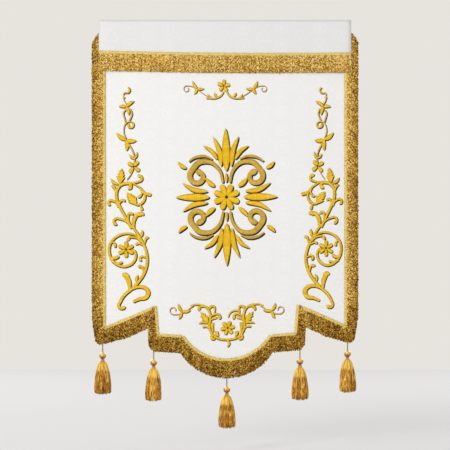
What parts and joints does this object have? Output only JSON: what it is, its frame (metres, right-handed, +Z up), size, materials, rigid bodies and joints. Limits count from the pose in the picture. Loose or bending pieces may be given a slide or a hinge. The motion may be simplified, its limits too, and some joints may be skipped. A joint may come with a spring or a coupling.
{
  "type": "church banner",
  "caption": "White damask church banner with a pole sleeve, gold bullion fringe on every edge, a notched and rounded lower edge and gold tassels.",
  "frame": {"origin": "middle of the fold at the top of the pole sleeve", "axes": "+Z up, +X to the viewer's right, the front of the banner faces -Y"},
  "size_m": [0.7372, 0.0509, 1.1327],
  "materials": {
    "white_damask": "satin woven damask",
    "gold_fringe": "twisted metallic gold thread",
    "tassel_gold": "silky gold yarn",
    "bead_gold": "polished gold",
    "cord_gold": "twisted cord",
    "heading_gold": "woven gold braid",
    "stem_copper": "stem stitch in copper thread",
    "edging_dark": "dark stitched edge",
    "embroidery_gold": "satin stitch in gold thread"
  },
  "bodies": {
    "root": {"panel": "white_damask", "pole_sleeve": "white_damask", "fringe_top": "gold_fringe", "fringe_side_left": "gold_fringe", "fringe_side_right": "gold_fringe", "fringe_slant_left": "gold_fringe", "fringe_slant_right": "gold_fringe", "fringe_notch_left": "gold_fringe", "fringe_notch_right": "gold_fringe", "fringe_step_left": "gold_fringe", "fringe_step_right": "gold_fringe", "fringe_bottom": "gold_fringe", "tassel_cord_1": "cord_gold", "tassel_cord_2": "cord_gold", "tassel_cord_3": "cord_gold", "tassel_cord_4": "cord_gold", "tassel_cord_5": "cord_gold", "tassel_bead_1": "bead_gold", "tassel_bead_2": "bead_gold", "tassel_bead_3": "bead_gold", "tassel_bead_4": "bead_gold", "tassel_bead_5": "bead_gold", "tassel_skirt_1": "tassel_gold", "tassel_skirt_2": "tassel_gold", "tassel_skirt_3": "tassel_gold", "tassel_skirt_4": "tassel_gold", "tassel_skirt_5": "tassel_gold"}
  },
  "joints": []
}
